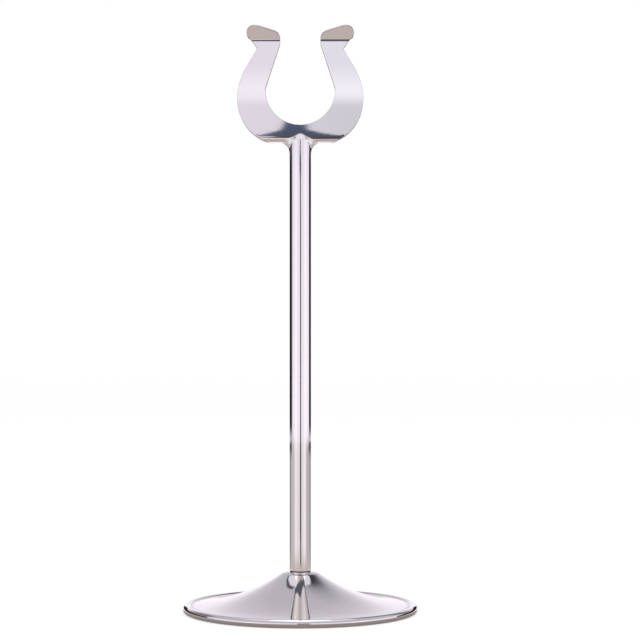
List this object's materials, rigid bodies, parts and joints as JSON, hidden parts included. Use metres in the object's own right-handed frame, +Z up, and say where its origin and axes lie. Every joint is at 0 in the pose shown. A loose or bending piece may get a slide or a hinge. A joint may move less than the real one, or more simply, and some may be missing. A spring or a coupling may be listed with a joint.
{
  "type": "table number stand",
  "caption": "Polished steel table number stand: a folded horseshoe clip that grips a card, on a slim tube post over a spun trumpet base with a rolled rim.",
  "frame": {"origin": "centre of the foot, on the surface that the stand rests on", "axes": "+Z up along the post, X across the horseshoe, the clip faces the reader along -Y"},
  "size_m": [0.12, 0.12, 0.3],
  "materials": {
    "polished_steel": "mirror polished stainless steel",
    "plated_steel": "bright zinc plated steel"
  },
  "bodies": {
    "root": {"base": "polished_steel", "post": "polished_steel", "clip": "polished_steel", "weld_neck": "polished_steel", "post_plug": "plated_steel", "flat_washer": "plated_steel", "spring_washer": "plated_steel", "base_screw": "plated_steel"}
  },
  "joints": []
}
